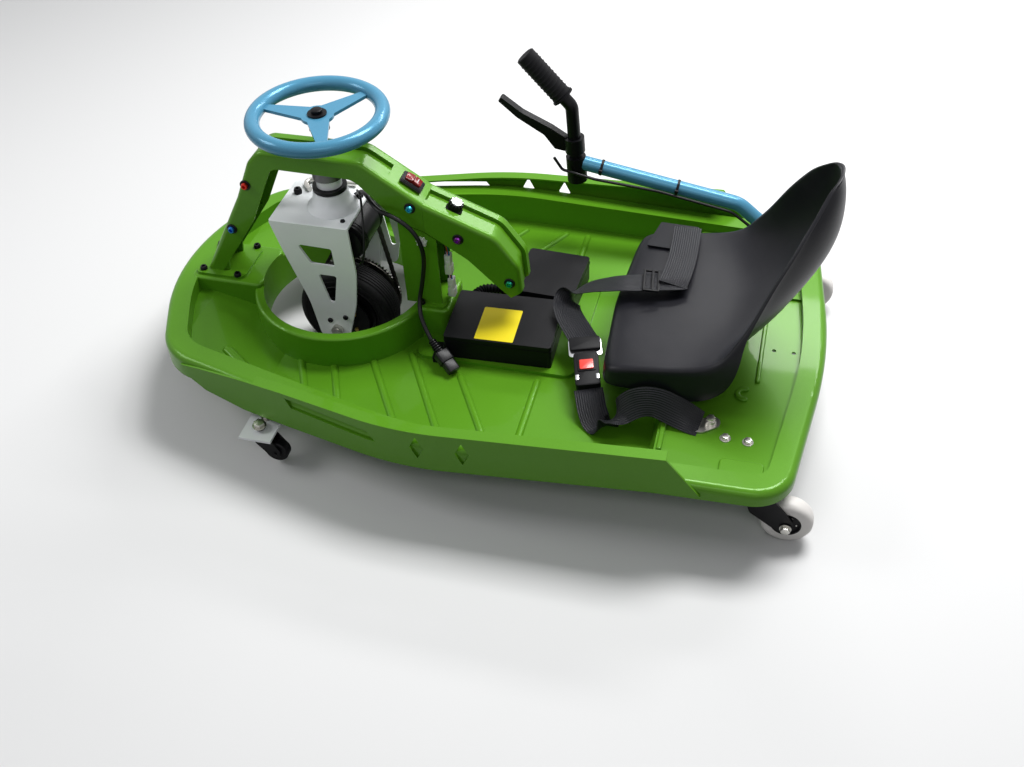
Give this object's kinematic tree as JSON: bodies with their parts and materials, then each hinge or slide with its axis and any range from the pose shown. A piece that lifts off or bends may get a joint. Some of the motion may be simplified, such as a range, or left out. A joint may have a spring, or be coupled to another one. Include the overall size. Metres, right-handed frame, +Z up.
{
  "type": "electric drift kart",
  "caption": "Electric drift kart with a pressed steel pan, a stamped steering bridge over a driven and steered front wheel, a bucket seat and a drift bar that tilts the rear casters.",
  "frame": {"origin": "on the ground under the middle of the kart's overall length and width", "axes": "+X towards the nose, +Y to the rider's left, +Z up"},
  "size_m": [1.0723, 0.6688, 0.4595],
  "materials": {
    "green_paint": "gloss",
    "blue_paint": "gloss",
    "white_paint": "satin",
    "black_paint": "satin",
    "black_plastic": "matte",
    "seat_plastic": "satin",
    "red_plastic": "gloss",
    "white_plastic": "satin",
    "tyre_rubber": "matte",
    "grip_rubber": "matte",
    "caster_tread": "satin",
    "webbing": "satin",
    "zinc_steel": "satin",
    "alloy": "satin",
    "cable_jacket": "satin"
  },
  "bodies": {
    "chassis": {"floor_pan": "green_paint", "side_panel_left": "green_paint", "side_panel_right": "green_paint", "front_bridge": "green_paint", "bridge_arm": "green_paint", "bridge_mid_leg": "green_paint", "bridge_foot": "green_paint", "steering_bearing": "zinc_steel", "switch_bezel": "black_plastic", "rocker_switch": "red_plastic", "power_knob": "black_plastic", "controller_box": "black_plastic", "battery_box": "black_plastic", "conduit": "black_plastic", "wire_connectors": "white_plastic", "seat": "seat_plastic", "seat_mount": "black_paint", "belt_strap_left": "webbing", "belt_strap_right": "webbing", "belt_buckle": "black_plastic", "belt_tongue": "zinc_steel", "belt_flap": "webbing", "belt_anchors": "zinc_steel", "motor_cable": "cable_jacket", "cable_plug": "cable_jacket", "drift_axle_brackets": "black_paint", "front_caster_bracket_left": "white_paint", "front_caster_bracket_right": "white_paint"},
    "steering": {"steering_wheel": "blue_paint", "steering_stem": "black_plastic", "wheel_fork": "white_paint", "chain_guard": "white_paint", "fork_rod": "zinc_steel", "drive_motor": "black_paint", "drive_chain": "zinc_steel", "drive_axle": "zinc_steel"},
    "drive_wheel": {"drive_tyre": "tyre_rubber", "drive_rim": "alloy", "drive_sprocket": "zinc_steel"},
    "drift_frame": {"drift_axle": "black_paint", "drift_bar": "blue_paint", "bar_stem": "black_paint", "bar_grip": "grip_rubber", "brake_lever": "black_paint", "brake_cable": "cable_jacket"},
    "rear_swivel_left": {"rear_caster_fork_left": "black_paint"},
    "rear_wheel_left": {"rear_caster_wheel_left": "caster_tread"},
    "front_swivel_left": {"front_caster_fork_left": "black_paint"},
    "front_wheel_left": {"front_caster_wheel_left": "black_plastic"},
    "rear_swivel_right": {"rear_caster_fork_right": "black_paint"},
    "rear_wheel_right": {"rear_caster_wheel_right": "caster_tread"},
    "front_swivel_right": {"front_caster_fork_right": "black_paint"},
    "front_wheel_right": {"front_caster_wheel_right": "black_plastic"}
  },
  "joints": [
    {"name": "steer", "type": "hinge", "parent": "chassis", "child": "steering", "pos_m": [0.255, 0, 0.3], "axis": [0, 0, 1], "range_deg": [-180, 180]},
    {"name": "drive_spin", "type": "hinge", "parent": "steering", "child": "drive_wheel", "pos_m": [0.255, 0, 0.085], "axis": [0, 1, 0], "continuous": true},
    {"name": "drift_tilt", "type": "hinge", "parent": "chassis", "child": "drift_frame", "pos_m": [-0.42, 0, 0.092], "axis": [0, -1, 0], "range_deg": [0, 25]},
    {"name": "rear_swivel_left", "type": "hinge", "parent": "drift_frame", "child": "rear_swivel_left", "pos_m": [-0.44977, 0.265, 0.088], "axis": [0.2079, 0, 0.9781], "continuous": true},
    {"name": "rear_roll_left", "type": "hinge", "parent": "rear_swivel_left", "child": "rear_wheel_left", "pos_m": [-0.4945, 0.265, 0.0375], "axis": [0, 1, 0], "continuous": true},
    {"name": "front_swivel_left", "type": "hinge", "parent": "chassis", "child": "front_swivel_left", "pos_m": [0.3, 0.286, 0.06], "axis": [0, 0, 1], "continuous": true},
    {"name": "front_roll_left", "type": "hinge", "parent": "front_swivel_left", "child": "front_wheel_left", "pos_m": [0.278, 0.286, 0.027], "axis": [0, 1, 0], "continuous": true},
    {"name": "rear_swivel_right", "type": "hinge", "parent": "drift_frame", "child": "rear_swivel_right", "pos_m": [-0.44977, -0.265, 0.088], "axis": [0.2079, 0, 0.9781], "continuous": true},
    {"name": "rear_roll_right", "type": "hinge", "parent": "rear_swivel_right", "child": "rear_wheel_right", "pos_m": [-0.4945, -0.265, 0.0375], "axis": [0, 1, 0], "continuous": true},
    {"name": "front_swivel_right", "type": "hinge", "parent": "chassis", "child": "front_swivel_right", "pos_m": [0.3, -0.286, 0.06], "axis": [0, 0, 1], "continuous": true},
    {"name": "front_roll_right", "type": "hinge", "parent": "front_swivel_right", "child": "front_wheel_right", "pos_m": [0.278, -0.286, 0.027], "axis": [0, 1, 0], "continuous": true}
  ]
}
